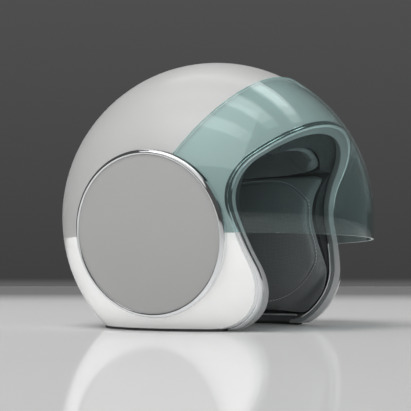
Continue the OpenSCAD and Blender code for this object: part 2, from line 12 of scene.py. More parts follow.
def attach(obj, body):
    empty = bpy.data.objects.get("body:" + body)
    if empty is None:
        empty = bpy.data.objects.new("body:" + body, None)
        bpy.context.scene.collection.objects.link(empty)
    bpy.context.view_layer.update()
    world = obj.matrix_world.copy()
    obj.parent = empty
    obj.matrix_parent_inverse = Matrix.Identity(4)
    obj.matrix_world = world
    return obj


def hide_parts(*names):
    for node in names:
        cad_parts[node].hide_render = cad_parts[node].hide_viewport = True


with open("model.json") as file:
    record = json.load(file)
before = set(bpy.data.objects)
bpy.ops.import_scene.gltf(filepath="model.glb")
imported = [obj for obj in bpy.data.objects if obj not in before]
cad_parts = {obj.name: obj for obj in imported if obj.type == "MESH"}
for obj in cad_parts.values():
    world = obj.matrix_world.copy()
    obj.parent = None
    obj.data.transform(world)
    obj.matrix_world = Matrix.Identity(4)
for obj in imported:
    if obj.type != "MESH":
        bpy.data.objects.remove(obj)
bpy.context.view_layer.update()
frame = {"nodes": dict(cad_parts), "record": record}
nodes = frame["nodes"]

# Sizes of the solids in millimetres, about the centre of the shell's sphere
CENTRE = (0.0, 1.45, 98.0)


def row(x, y, z):
    """A point in millimetres about the sphere's centre, in metres of the row frame."""
    return Vector(((x + CENTRE[0]) / 1000, (y + CENTRE[1]) / 1000, (z + CENTRE[2]) / 1000))


# Camera, placed where the photograph was taken
camera_data = bpy.data.cameras.new("camera")
camera_data.sensor_width = 36.0
camera_data.lens = 88.03
camera = bpy.data.objects.new("camera", camera_data)
bpy.context.scene.collection.objects.link(camera)
camera.location = row(-813.3, -396.9, -61.3)
aim = row(-4.5, 9.2, 10.7) - camera.location
camera.rotation_euler = aim.to_track_quat("-Z", "Y").to_euler()
bpy.context.scene.camera = camera


class Graph:
    """A material's node tree, with short ways to add and join nodes."""

    def __init__(self, name):
        self.material = bpy.data.materials.new(name)
        self.material.use_nodes = True
        self.tree = self.material.node_tree
        self.tree.nodes.clear()
        self.output = self.add("ShaderNodeOutputMaterial")
        self.coords = self.add("ShaderNodeTexCoord").outputs["Object"]

    def add(self, kind, ins=None, **attributes):
        node = self.tree.nodes.new(kind)
        for key, value in attributes.items():
            setattr(node, key, value)
        for key, value in (ins or {}).items():
            self.put(node.inputs[key], value)
        return node

    def put(self, socket, value):
        if isinstance(value, bpy.types.NodeSocket):
            self.tree.links.new(value, socket)
        else:
            socket.default_value = value

    def math(self, operation, a, b=0.0, c=0.0):
        node = self.add("ShaderNodeMath", operation=operation)
        for socket, value in zip(node.inputs, (a, b, c)):
            self.put(socket, value)
        return node.outputs[0]

    def noise(self, scale, detail=2.0, roughness=0.5, coords=None, distortion=0.0):
        node = self.add("ShaderNodeTexNoise", {
            "Vector": coords or self.coords,
            "Scale": scale,
            "Detail": detail,
            "Roughness": roughness,
            "Distortion": distortion,
        })
        return node.outputs["Fac"]

    def ramp(self, value, low, high, from_low=0.0, from_high=1.0):
        node = self.add("ShaderNodeMapRange", {
            "Value": value,
            "From Min": from_low,
            "From Max": from_high,
            "To Min": low,
            "To Max": high,
        })
        return node.outputs["Result"]

    def blend(self, fac, a, b):
        node = self.add("ShaderNodeMix", data_type="RGBA")
        self.put(node.inputs["Factor"], fac)
        self.put(node.inputs[6], a)
        self.put(node.inputs[7], b)
        return node.outputs[2]

    def bump(self, height, strength, distance, normal=None):
        node = self.add("ShaderNodeBump", {"Height": height, "Strength": strength, "Distance": distance})
        if normal is not None:
            self.put(node.inputs["Normal"], normal)
        return node.outputs["Normal"]

    def stretch(self, scale, coords=None):
        node = self.add("ShaderNodeMapping", {"Vector": coords or self.coords, "Scale": scale})
        return node.outputs["Vector"]

    def principled(self, **sockets):
        node = self.add("ShaderNodeBsdfPrincipled")
        for key, value in sockets.items():
            self.put(node.inputs[key.replace("_", " ")], value)
        return node.outputs["BSDF"]

    def finish(self, shader):
        self.tree.links.new(shader, self.output.inputs["Surface"])
        return self.material


def rgb(r, g, b):
    return (r, g, b, 1.0)


def lacquer(name, tone, roughness, coat, grime=0.03, peel=0.02):
    """Sprayed lacquer: faint orange peel, soft cloudiness and a few darker handling marks."""
    g = Graph(name)
    cloud = g.noise(14.0, 3.0, 0.55)
    speck = g.noise(2400.0, 1.0)
    dark = [c * (1.0 - grime) for c in tone]
    colour = g.blend(g.ramp(cloud, 0.0, 1.0, 0.3, 0.7), rgb(*dark), rgb(*tone))
    rough = g.ramp(g.noise(55.0, 4.0, 0.6), roughness - 0.04, roughness + 0.05, 0.3, 0.7)
    height = g.math("ADD", g.noise(420.0, 2.0), g.math("MULTIPLY", speck, 0.3))
    return g.finish(g.principled(
        Base_Color=colour,
        Roughness=rough,
        Coat_Weight=coat,
        Coat_Roughness=0.08,
        Normal=g.bump(height, peel, 0.0004),
    ))


def metal(name, tone, roughness, grain=0.25, streak=(30.0, 30.0, 2600.0), metallic=1.0):
    """Metal with a fine drawn grain and soft variation of its polish."""
    g = Graph(name)
    line = g.noise(1.0, 2.0, 0.6, coords=g.stretch(streak))
    patch = g.noise(90.0, 3.0, 0.6)
    rough = g.math("ADD", g.ramp(patch, roughness * 0.7, roughness * 1.3, 0.3, 0.7),
                   g.math("MULTIPLY", line, roughness * grain))
    colour = g.blend(patch, rgb(*[c * 0.93 for c in tone]), rgb(*tone))
    return g.finish(g.principled(
        Base_Color=colour,
        Metallic=metallic,
        Roughness=rough,
        Normal=g.bump(line, 0.04 * grain, 0.0002),
    ))


def moulded(name, tone, roughness, grain_scale=1500.0, depth=0.12):
    """Moulded plastic with a spark-eroded grain."""
    g = Graph(name)
    cell = g.add("ShaderNodeTexVoronoi", {"Vector": g.coords, "Scale": grain_scale})
    fine = g.noise(grain_scale * 1.6, 2.0)
    height = g.math("ADD", cell.outputs["Distance"], g.math("MULTIPLY", fine, 0.5))
    worn = g.noise(60.0, 4.0, 0.6)
    colour = g.blend(worn, rgb(*[c * 0.85 for c in tone]), rgb(*[min(c * 1.12, 1.0) for c in tone]))
    return g.finish(g.principled(
        Base_Color=colour,
        Roughness=g.ramp(worn, roughness - 0.06, roughness + 0.06, 0.3, 0.7),
        Normal=g.bump(height, depth, 0.0003),
    ))


def cells(g, pitch, coords=None):
    """Rows of bumps on any surface: a lattice of waves in space with the given pitch in metres."""
    parts = g.add("ShaderNodeSeparateXYZ", {"Vector": coords or g.coords}).outputs
    k = 2 * math.pi / pitch
    scaled = [g.math("MULTIPLY", part, k) for part in parts]
    waves = []
    for i in range(3):
        first = g.math("SINE", scaled[i])
        second = g.math("COSINE", scaled[(i + 1) % 3])
        waves.append(g.math("MULTIPLY", first, second))
    return g.math("ADD", g.math("ADD", waves[0], waves[1]), waves[2])


def knitted(name, tone, pitch=0.0013):
    """Knitted lining: small loops, a soft nap, a faint change of tone from rubbing, and painted shade that
    darkens the loops' low places.
    """
    g = Graph(name)
    wobble = g.add("ShaderNodeTexNoise", {"Vector": g.coords, "Scale": 180.0, "Detail": 2.0})
    shift = g.add("ShaderNodeVectorMath", {0: wobble.outputs["Color"], 1: (0.0006, 0.0006, 0.0006)},
                  operation="MULTIPLY")
    moved = g.add("ShaderNodeVectorMath", {0: g.coords, 1: shift.outputs[0]}, operation="ADD").outputs[0]
    loops = cells(g, pitch, moved)
    rubbed = g.noise(28.0, 4.0, 0.6)
    fuzz = g.noise(2600.0, 2.0, 0.6)
    # The colour follows the loops' height as painted shade in their low places, mixed with real rubbed
    # wear.
    low = rgb(*[c * 0.72 for c in tone])
    high = rgb(*[c * 1.2 for c in tone])
    yarn = g.ramp(g.math("ADD", g.math("MULTIPLY", loops, 0.5), rubbed), 0.0, 1.0, -0.4, 1.3)
    height = g.math("ADD", loops, g.math("MULTIPLY", fuzz, 0.8))
    return g.finish(g.principled(
        Base_Color=g.blend(yarn, low, high),
        Roughness=0.92,
        Specular_IOR_Level=0.25,
        Sheen_Weight=0.12,
        Sheen_Roughness=0.5,
        Normal=g.bump(height, 0.35, 0.0004),
    ))


def woven(name, tone, along=0.0018, across=0.0012):
    """Woven webbing on the strip's own map: staggered yarns with a ribbed face, their colour darkened
    between the yarns as painted shade.
    """
    g = Graph(name)
    strip_map = g.add("ShaderNodeUVMap", uv_map="weave").outputs[0]
    u, v = g.add("ShaderNodeSeparateXYZ", {"Vector": strip_map}).outputs[:2]
    column = g.math("DIVIDE", v, across)
    stagger = g.math("MULTIPLY", g.math("FLOOR", column), 0.5)
    along_yarn = g.math("FRACT", g.math("ADD", g.math("DIVIDE", u, along), stagger))
    yarn = g.math("SINE", g.math("MULTIPLY", along_yarn, math.pi))
    rib = g.math("SINE", g.math("MULTIPLY", g.math("FRACT", column), math.pi))
    weave = g.math("MULTIPLY", g.math("POWER", yarn, 0.6), g.math("POWER", rib, 0.6))
    fibre = g.noise(1.0, 2.0, 0.6, coords=g.stretch((900.0, 6000.0, 900.0)))
    rubbed = g.noise(60.0, 3.0, 0.6)
    # The yarns' colour is darker between them and paler on their tops as painted shade, mixed with real
    # rubbed wear.
    painted_shade_and_wear = g.math("ADD", g.math("MULTIPLY", weave, 0.7), g.math("MULTIPLY", rubbed, 0.6))
    deep_painted_shade = rgb(*[c * 0.45 for c in tone])
    raised = rgb(*[c * 1.35 for c in tone])
    colour = g.blend(g.ramp(painted_shade_and_wear, 0.0, 1.0, 0.1, 1.1), deep_painted_shade, raised)
    height = g.math("ADD", weave, g.math("MULTIPLY", fibre, 0.15))
    return g.finish(g.principled(
        Base_Color=colour,
        Roughness=0.62,
        Specular_IOR_Level=0.4,
        Sheen_Weight=0.2,
        Sheen_Roughness=0.4,
        Normal=g.bump(height, 0.7, 0.0004),
    ))


def expanded_foam(name, tone):
    """Expanded foam: pressed beads with thin dark joints between them."""
    g = Graph(name)
    bead = g.add("ShaderNodeTexVoronoi", {"Vector": g.coords, "Scale": 290.0}, feature="SMOOTH_F1")
    joint = g.add("ShaderNodeTexVoronoi", {"Vector": g.coords, "Scale": 290.0}, feature="DISTANCE_TO_EDGE")
    seam = g.ramp(joint.outputs["Distance"], 0.0, 1.0, 0.0, 0.09)
    tint = g.ramp(bead.outputs["Distance"], 1.15, 0.85, 0.0, 0.7)
    base = g.blend(seam, rgb(*[c * 0.45 for c in tone]), rgb(*tone))
    return g.finish(g.principled(
        Base_Color=base,
        Roughness=g.ramp(tint, 0.62, 0.8, 0.85, 1.15),
        Specular_IOR_Level=0.35,
        Normal=g.bump(seam, 0.45, 0.0006, g.bump(g.noise(900.0, 2.0), 0.1, 0.0003)),
    ))


def rubber(name, tone):
    """Matt rubber: fine texture, paler dust in noise patches and smoother rubbed patches."""
    g = Graph(name)
    grain = g.noise(1800.0, 3.0, 0.65)
    dust = g.noise(45.0, 4.0, 0.65)
    colour = g.blend(g.ramp(dust, 0.0, 1.0, 0.45, 0.8), rgb(*tone), rgb(*[c * 1.7 + 0.01 for c in tone]))
    return g.finish(g.principled(
        Base_Color=colour,
        Roughness=g.ramp(dust, 0.62, 0.85, 0.3, 0.7),
        Specular_IOR_Level=0.35,
        Normal=g.bump(grain, 0.25, 0.0004),
    ))


materials = {
    "shell_grey": lacquer("shell_grey", (0.40, 0.40, 0.395), 0.40, 0.1),
    "band_white": lacquer("band_white", (0.93, 0.93, 0.92), 0.22, 0.8, grime=0.015),
    "cover_grey": lacquer("cover_grey", (0.335, 0.335, 0.33), 0.42, 0.1),
    "polished": metal("polished", (0.85, 0.86, 0.87), 0.07),
    "rim_grey": moulded("rim_grey", (0.32, 0.325, 0.33), 0.4),
    "piping": metal("piping", (0.93, 0.94, 0.95), 0.2, metallic=0.1),
    "roll_dark": rubber("roll_dark", (0.12, 0.125, 0.13)),
    "foot_rubber": rubber("foot_rubber", (0.03, 0.03, 0.03)),
    "lining": knitted("lining", (0.19, 0.195, 0.2)),
    # The thread's pale tone is a painted highlight along the cheek pads' sewn channel.
    "thread": knitted("thread", (0.6, 0.61, 0.62), pitch=0.0004),
    "foam": expanded_foam("foam", (0.04, 0.04, 0.043)),
    "snap_plastic": moulded("snap_plastic", (0.1, 0.1, 0.1), 0.5),
    "plate_plastic": moulded("plate_plastic", (0.07, 0.07, 0.075), 0.5),
    "steel": metal("steel", (0.6, 0.61, 0.62), 0.28, 0.6),
    "brass": metal("brass", (0.72, 0.58, 0.3), 0.3, 0.5),
    "bush_plastic": moulded("bush_plastic", (0.75, 0.74, 0.68), 0.45),
    "webbing": woven("webbing", (0.03, 0.03, 0.032)),
    "ladder_plastic": moulded("ladder_plastic", (0.03, 0.03, 0.035), 0.45),
    "buckle_dark": moulded("buckle_dark", (0.08, 0.08, 0.085), 0.4),
    "ribbon_red": woven("ribbon_red", (0.4, 0.02, 0.02), 0.0009, 0.0006),
}


VISOR_IN = 138.7
VISOR_OUT = 140.9


def visor_material():
    """Clear tinted sheet: the same share is mirrored on both faces, and its cut edges are given a paler,
    less clear colour as a painted highlight.
    """
    g = Graph("visor_tint")
    facing = g.add("ShaderNodeLayerWeight", {"Blend": 0.5}).outputs["Facing"]
    mirrored = g.math("MULTIPLY_ADD", g.math("POWER", facing, 5.0), 0.93, 0.045)
    smear = g.ramp(g.noise(30.0, 4.0, 0.6), 0.02, 0.045, 0.3, 0.7)
    tint = g.add("ShaderNodeBsdfTransparent", {"Color": rgb(0.875, 0.955, 0.95)})
    gloss = g.add("ShaderNodeBsdfGlossy", {"Color": rgb(1, 1, 1), "Roughness": smear})
    sheet = g.add("ShaderNodeMixShader", {0: mirrored, 1: tint.outputs[0], 2: gloss.outputs[0]})
    from_centre = g.add("ShaderNodeVectorMath", {0: g.coords, 1: tuple(row(0, 0, 0))}, operation="DISTANCE")
    mid = (VISOR_IN + VISOR_OUT) / 2000
    inside = g.math("COMPARE", from_centre.outputs["Value"], mid, 0.0009)
    # The cut edges' pale colour is a painted highlight for the light a thick sheet's edge gathers; the
    # faces keep real transmission and gloss.
    cut = g.principled(Base_Color=rgb(0.62, 0.8, 0.79), Roughness=0.25, Transmission_Weight=0.25)
    whole = g.add("ShaderNodeMixShader", {0: inside, 1: sheet.outputs[0], 2: cut})
    return g.finish(whole.outputs[0])


materials["visor_tint"] = visor_material()

for part in frame["record"]["subparts"]:
    mesh = nodes[part["node"]].data
    mesh.materials.clear()
    mesh.materials.append(materials[part["material_slot"]])

# The face opening's outline seen from the side, as in the solids: reach before the centre, and height
CHEEK = (39.5, -56.0)
CHEEK_R = 40.0
TEMPLE = (116.0, 7.0)
TEMPLE_R = 50.5
BROW = math.radians(46.0)
BASE_Z = -96.0
SPAN = (TEMPLE[0] - CHEEK[0], TEMPLE[1] - CHEEK[1])
LEAN = (math.atan2(SPAN[1], SPAN[0])
        + math.asin((CHEEK_R + TEMPLE_R) / math.hypot(*SPAN)) - math.pi / 2)


def outline(e, first=None):
    """Side view points of the outline moved by e into the opening, up to the end of the temple curve."""
    rc = CHEEK_R + e
    rt = TEMPLE_R - e
    a0 = -math.pi / 2 if first is None else -math.acos((first - CHEEK[0]) / rc)
    points = []
    for i in range(41):
        a = a0 + (LEAN - a0) * i / 40
        points.append((-CHEEK[0] - rc * math.cos(a), CHEEK[1] + rc * math.sin(a)))
    temple = []
    for i in range(33):
        a = math.pi + LEAN + (BROW - math.pi / 2 - LEAN) * i / 32
        temple.append((-TEMPLE[0] - rt * math.cos(a), TEMPLE[1] + rt * math.sin(a)))
    for i in range(1, 8):
        points.append(tuple(p + (q - p) * i / 8 for p, q in zip(points[40], temple[0])))
    return points + temple


def edge_path(e, r, first=None):
    """The outline on a sphere of radius r, from the left cheek over the brow to the right one."""
    half = [(math.sqrt(max(r * r - y * y - z * z, 0.0)), y, z) for y, z in outline(e, first)]
    y, z = half[-1][1:]
    along = -y * math.cos(BROW) + z * math.sin(BROW)
    foot = (y + along * math.cos(BROW), z - along * math.sin(BROW))
    rho = math.sqrt(r * r - foot[0] ** 2 - foot[1] ** 2)
    start = math.acos(along / rho)
    for i in range(1, 41):
        a = start * (1 - i / 40)
        t = rho * math.cos(a)
        half.append((rho * math.sin(a), foot[0] - t * math.cos(BROW), foot[1] + t * math.sin(BROW)))
    return half + [(-x, y, z) for x, y, z in reversed(half[:-1])]


def rounded(corners, radii, steps=5):
    """A closed profile with each corner rounded by its own radius."""
    points = []
    n = len(corners)
    for i, (corner, radius) in enumerate(zip(corners, radii)):
        c = Vector(corner)
        before = (Vector(corners[i - 1]) - c).normalized()
        after = (Vector(corners[(i + 1) % n]) - c).normalized()
        if radius <= 0:
            points.append(tuple(c))
            continue
        half = before.angle(after) / 2
        middle = c + (before + after).normalized() * (radius / math.sin(half))
        p = c + before * (radius / math.tan(half)) - middle
        q = c + after * (radius / math.tan(half)) - middle
        for k in range(steps + 1):
            v = p.slerp(q, k / steps)
            points.append(tuple(middle + v))
    return points


def make(name, verts, faces, slot, body="shell", replaced=(), smooth_under=40.0, normals=None):
    """A piece from points in millimetres about the sphere's centre."""
    mesh = bpy.data.meshes.new(name)
    mesh.from_pydata([row(*v) for v in verts], [], faces)
    mesh.update()
    bm = bmesh.new()
    bm.from_mesh(mesh)
    bmesh.ops.recalc_face_normals(bm, faces=bm.faces)
    bm.to_mesh(mesh)
    bm.free()
    mesh.materials.append(materials[slot])
    mesh.shade_smooth()
    mesh.set_sharp_from_angle(angle=math.radians(smooth_under))
    piece = bpy.data.objects.new(name, mesh)
    bpy.context.scene.collection.objects.link(piece)
    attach(piece, body)
    if replaced:
        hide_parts(*replaced)
    return piece


def loft(rings, closed=False, caps=True):
    """Faces over rings of equally many points, each ring closed; the ends are capped unless closed."""
    n = len(rings[0])
    verts = [p for ring in rings for p in ring]
    faces = []
    count = len(rings)
    for i in range(count if closed else count - 1):
        j = (i + 1) % count
        for k in range(n):
            m = (k + 1) % n
            faces.append((i * n + k, i * n + m, j * n + m, j * n + k))
    if caps and not closed:
        faces.append(tuple(reversed(range(n))))
        faces.append(tuple(range((count - 1) * n, count * n)))
    return verts, faces


def rim_sweep(profile, first):
    """Rings along the opening: each profile point is (offset into the opening, radius)."""
    lines = [edge_path(e, r, first) for e, r in profile]
    return [[(x, y, max(z, BASE_Z)) for x, y, z in (line[i] for line in lines)]
            for i in range(len(lines[0]))]


def ring_sweep(profile, angles):
    """Rings round the upright axis: each profile point is (radius, height)."""
    return [[(r * math.sin(a), r * math.cos(a), z) for r, z in profile] for a in angles]


def spread(low, high, count):
    return [low + (high - low) * i / (count - 1) for i in range(count)]


def circle(c, r, steps=14):
    return [(c[0] + r * math.cos(2 * math.pi * i / steps), c[1] + r * math.sin(2 * math.pi * i / steps))
            for i in range(steps)]


# Polished trim, rim band and piping along the face opening
trim = rounded([(0.2, 135.0), (4.2, 135.0), (4.2, 138.3), (2.3, 138.3), (2.3, 137.6), (0.2, 137.6)],
               [0.5, 0.9, 0.9, 0.65, 0.0, 0.5])
make("opening_trim", *loft(rim_sweep(trim, 45.6)), "polished", replaced=["edge_trim"])
RIM_IN = 125.5
band = rounded([(-3.0, RIM_IN), (4.2, RIM_IN), (4.2, 134.8), (0.2, 134.8), (0.2, 133.3), (-3.0, 133.3)],
               [0.8, 2.2, 0.4, 0.3, 0.1, 0.5])
make("rim_lip", *loft(rim_sweep(band, 41.6)), "rim_grey", replaced=["rim_band"])
ROLL_IN = 89.57
PIPE_R = 0.8
SPLIT_Z = -21.0
rim_rings = rim_sweep(circle((-2.2, RIM_IN - 0.2 - PIPE_R), PIPE_R), 56.0)
below_split = [all(z < SPLIT_Z for x, y, z in ring) for ring in rim_rings]
first_up = below_split.index(False)
last_up = len(rim_rings) - 1 - below_split[::-1].index(False)
near_pipe = loft(rim_rings[:first_up])
far_pipe = loft(rim_rings[last_up + 1:])
pipe_half = math.pi / 2 + math.asin(45.5 / (ROLL_IN + PIPE_R))
base_pipe = loft(ring_sweep(circle((ROLL_IN + PIPE_R, -89.0), PIPE_R), spread(-pipe_half, pipe_half, 150)))
pipe_verts = []
pipe_faces = []
for verts, faces in (near_pipe, far_pipe, base_pipe):
    pipe_faces += [tuple(i + len(pipe_verts) for i in f) for f in faces]
    pipe_verts += verts
make("rim_piping", pipe_verts, pipe_faces, "piping", replaced=["inner_piping"])
roll_half = math.pi / 2 + math.asin(40.9 / 91.0)
roll = rounded([(ROLL_IN, -96.0), (ROLL_IN + 3.0, -96.0), (ROLL_IN + 3.0, -90.0), (ROLL_IN, -90.0)],
               [1.45, 0.8, 0.6, 1.2])
make("neck_edge_roll", *loft(ring_sweep(roll, spread(-roll_half, roll_half, 150))), "roll_dark",
     replaced=["neck_roll"])

# Polished rings round the side covers, lathed about each cover's tilted axis
POD_TILT = math.radians(9.5)


def pod_point(side, along, radius, angle):
    """A point in a side cover's frame: its axis points outwards, angle 0 is down and 90 degrees back."""
    down = radius * math.cos(angle)
    x = along * math.cos(POD_TILT) - down * math.sin(POD_TILT)
    z = -along * math.sin(POD_TILT) - down * math.cos(POD_TILT)
    return (side * x, radius * math.sin(angle), z)


COVER_LOW = 126.44
COVER_R = 64.3
COVER_T = 1.5
DOME_R = 300.0
DOME_C = COVER_LOW + COVER_T - math.sqrt(DOME_R ** 2 - COVER_R ** 2)
cover = [(r, DOME_C + math.sqrt(DOME_R ** 2 - r * r)) for r in spread(0.4, COVER_R - 0.2, 40)]
cover += [(COVER_R, COVER_LOW + COVER_T - 0.15), (COVER_R, COVER_LOW), (COVER_R - 0.2, COVER_LOW)]
cover += [(r, DOME_C + math.sqrt((DOME_R - COVER_T) ** 2 - r * r)) for r in spread(COVER_R - 0.8, 0.4, 20)]
bezel = rounded([(64.35, COVER_LOW), (66.1, COVER_LOW), (66.1, COVER_LOW + 0.3), (64.5, COVER_LOW + 1.85),
                 (64.35, COVER_LOW + 1.65)], [0.1, 0.1, 0.15, 0.1, 0.03], steps=4)
collar = rounded([(65.3, COVER_LOW - 6.0), (66.1, COVER_LOW - 6.0), (66.1, COVER_LOW - 0.05),
                  (65.3, COVER_LOW - 0.05)], [0.2, 0.2, 0.1, 0.1], steps=3)
for side, word in ((1, "left"), (-1, "right")):
    rings = [[pod_point(side, z, r, 2 * math.pi * i / 192) for r, z in bezel] for i in range(192)]
    make("cover_ring_" + word, *loft(rings, closed=True), "polished", replaced=["bezel_ring_" + word])
    rings = [[pod_point(side, z, r, math.radians(a)) for r, z in collar] for a in spread(-126, 148, 160)]
    make("cover_collar_" + word, *loft(rings), "polished")
    rings = [[pod_point(side, z, r, 2 * math.pi * i / 160) for i in range(160)] for r, z in cover]
    make("cover_dome_" + word, *loft(rings), "cover_grey", replaced=["side_cover_" + word])

# Padded lining: each pad is a closed form over a flat map, swollen as cloth and held inside its room
LINER_R = 105.6
LINER_X = 85.6


def evaluated_mesh(obj):
    """The object's mesh with its modifiers applied."""
    depsgraph = bpy.context.evaluated_depsgraph_get()
    return bpy.data.meshes.new_from_object(obj.evaluated_get(depsgraph))


def bake_modifiers(obj):
    mesh = evaluated_mesh(obj)
    obj.modifiers.clear()
    obj.data = mesh


def about_centre(co):
    return Vector((co.x * 1000 - CENTRE[0], co.y * 1000 - CENTRE[1], co.z * 1000 - CENTRE[2]))


def inflate(obj, pressure, cap):
    """Swells a closed mesh as cloth under inner pressure; no point moves further than the cap."""
    start = [v.co.copy() for v in obj.data.vertices]
    cloth = obj.modifiers.new("Cloth", "CLOTH")
    cloth.settings.use_pressure = True
    cloth.settings.uniform_pressure_force = pressure
    cloth.settings.quality = 5
    cloth.settings.mass = 0.25
    cloth.settings.tension_stiffness = 20
    cloth.settings.compression_stiffness = 20
    cloth.settings.bending_stiffness = 1.0
    cloth.settings.effector_weights.gravity = 0
    cloth.point_cache.frame_start = 1
    cloth.point_cache.frame_end = 20
    scene = bpy.context.scene
    for frame_number in range(1, 21):
        scene.frame_set(frame_number)
    bake_modifiers(obj)
    for v, old in zip(obj.data.vertices, start):
        move = v.co - old
        if move.length > cap:
            v.co = old + move * (cap / move.length)
    scene.frame_set(1)


class Patch:
    """A pad's flat map: how far it reaches from its pole in each direction, and its edge."""

    def __init__(self, pole, inside, width, rounding, spokes=240):
        self.pole = pole
        self.spokes = spokes
        self.reach = [self.limit(2 * math.pi * k / spokes, inside) for k in range(spokes)]
        for _ in range(rounding):
            before = self.reach
            self.reach = [min(r, (before[k - 1] + 2 * r + before[(k + 1) % spokes]) / 4)
                          for k, r in enumerate(before)]
        edge = [self.at(2 * math.pi * k / (4 * spokes), 1.0) for k in range(4 * spokes)]
        widths = np.array([width(*q) for q in edge])
        for _ in range(40):
            widths = (np.roll(widths, 1) + 2 * widths + np.roll(widths, -1)) / 4
        self.edge = np.array(edge)
        self.widths = widths

    def limit(self, angle, inside):
        """The distance from the pole to the map's edge, by steps and then halving."""
        step = (math.cos(angle), math.sin(angle))
        low, high = 0.0, 4.0
        while inside(self.pole[0] + step[0] * high, self.pole[1] + step[1] * high):
            low, high = high, high + 4.0
        for _ in range(12):
            middle = (low + high) / 2
            if inside(self.pole[0] + step[0] * middle, self.pole[1] + step[1] * middle):
                low = middle
            else:
                high = middle
        return low

    def reach_at(self, angle):
        k = angle / (2 * math.pi) * self.spokes
        i = math.floor(k)
        a, b = self.reach[i % self.spokes], self.reach[(i + 1) % self.spokes]
        return a + (b - a) * (k - i)

    def at(self, angle, share):
        r = self.reach_at(angle) * share
        return (self.pole[0] + r * math.cos(angle), self.pole[1] + r * math.sin(angle))

    def fullness(self, u, v):
        """From 0 at the edge to 1 where the pad has its full thickness, on a quarter circle."""
        away = np.hypot(self.edge[:, 0] - u, self.edge[:, 1] - v) / self.widths
        short = 1.0 - min(float(away.min()), 1.0)
        return math.sqrt(1.0 - short * short)


def even_rings(patch, angle, rings):
    """Ring distances along one direction, closer together near the edge."""
    reach = patch.reach_at(angle)
    return [reach * (1.0 - (1.0 - j / rings) ** 1.4) for j in range(rings + 1)]


def pillow(name, node, patch, place, rings, groove, hold, spacing=even_rings, cap=2.5):
    """A closed cushion; place(u, v, t) is its back at t = 0 and its full face at t = 1."""
    spots = {}
    for i in range(-rings, rings + 1):
        for j in range(-rings, rings + 1):
            m = max(abs(i), abs(j))
            if m == 0:
                spots[i, j] = patch.pole
                continue
            if abs(i) >= abs(j):
                angle = math.pi / 4 * j / i + (0.0 if i > 0 else math.pi)
            else:
                angle = math.pi / 2 - math.pi / 4 * i / j + (0.0 if j > 0 else math.pi)
            r = spacing(patch, angle, rings)[m]
            spots[i, j] = (patch.pole[0] + r * math.cos(angle), patch.pole[1] + r * math.sin(angle))
    verts = []
    number = {}
    for face in (0, 1):
        for key, (u, v) in spots.items():
            if max(abs(key[0]), abs(key[1])) == rings:
                if face == 0:
                    number[key, 0] = number[key, 1] = len(verts)
                    verts.append(place(u, v, 0.0))
                continue
            number[key, face] = len(verts)
            verts.append(place(u, v, 0.88 * patch.fullness(u, v) if face else 0.0))
    faces = []
    for i in range(-rings, rings):
        for j in range(-rings, rings):
            for face in (0, 1):
                quad = [number[(i, j), face], number[(i + 1, j), face],
                        number[(i + 1, j + 1), face], number[(i, j + 1), face]]
                faces.append(tuple(quad if face else reversed(quad)))
    pad = make(name, verts, faces, "lining", replaced=[node], smooth_under=180.0)
    inflate(pad, 4.0, cap / 1000)
    subdivision = pad.modifiers.new("Subdivision", "SUBSURF")
    subdivision.levels = 1
    subdivision.render_levels = 1
    bake_modifiers(pad)
    for v, normal in [(v, v.normal.copy()) for v in pad.data.vertices]:
        p = about_centre(v.co)
        p -= normal * groove(p, normal)
        v.co = row(*hold(p))
    pad.data.shade_smooth()
    return pad


def cone_reach(z, r):
    """The head space's lower cone at height z, where its ball has radius r."""
    low = r - 18.0
    return low + (math.sqrt(r * r - 400.0) - low) * (z + 100.0) / 80.0


def cavity_reach(y, z, r):
    """How far the head space reaches sideways at a height and depth."""
    square = r * r - y * y - z * z
    if z < -20.0:
        square = max(square, cone_reach(z, r) ** 2 - y * y)
    if y < 0 and z < 45.2:
        square = max(square, LINER_X ** 2)
    return math.sqrt(max(square, 0.0))


def soft_min(a, b, k):
    h = max(k - abs(a - b), 0.0) / k
    return min(a, b) - h * h * k / 4


brow_end = outline(-3.6)[-1]
OPENING = outline(-3.6) + [(brow_end[0] - 300 * math.cos(BROW), brow_end[1] + 300 * math.sin(BROW)),
                           (-500.0, 300.0), (-500.0, -300.0), (-CHEEK[0], -300.0)]


def in_opening(y, z):
    """Whether a side view point lies in the face opening or within 3.6 mm of it, where the piping runs."""
    hit = False
    for (y0, z0), (y1, z1) in zip(OPENING, OPENING[1:] + OPENING[:1]):
        if (z0 > z) != (z1 > z) and y < y0 + (y1 - y0) * (z - z0) / (z1 - z0):
            hit = not hit
    return hit


SEAM_C = (-10.0, -17.0)
SEAM_R = 58.0
PAD_FACE = 73.0
PAD_RIM_R = 123.2
LIP_R = 120.6
STRAP_FACE = ((-74.0, 92.6), (-83.5, 84.2), (-87.6, 81.6))


def cheek_back(y, z):
    """The far side of a cheek pad's room, clear of the rim and the chin strap."""
    x = min(LINER_X, cavity_reach(y, z, LINER_R), math.sqrt(max(PAD_RIM_R ** 2 - y * y - z * z, 0.0)))
    if abs(y - 14.0) < 12.0 and z < -76.0:
        (z0, x0), (z1, x1) = STRAP_FACE[:2] if z > STRAP_FACE[1][0] else STRAP_FACE[1:]
        x = min(x, x0 + (x1 - x0) * (z - z0) / (z1 - z0))
    return x


def cheek_face(y, z):
    """The side towards the head: crowned, and drawn in along the rim so that it ends at the piping."""
    crowned = PAD_FACE + ((y - SEAM_C[0]) ** 2 + (z - SEAM_C[1]) ** 2) / 600.0
    lip = math.sqrt(max(LIP_R ** 2 - y * y - z * z, 0.0))
    return soft_min(crowned, lip, 5.0)


def cheek_inside(y, z):
    if in_opening(y, z) or y > 51.6 or z < -86.6 or z > 44.7:
        return False
    return cheek_back(y, z) - cheek_face(y, z) > 0.8


def cheek_place(side):
    def place(y, z, t):
        back = cheek_back(y, z)
        return (side * (back + (min(cheek_face(y, z), back) - back) * t), y, z)
    return place


def seam_at(patch, angle):
    """Distance of the sewn channel from its centre: a circle, drawn in where the pad's edge is near."""
    return soft_min(SEAM_R, patch.reach_at(angle) - 6.0, 8.0)


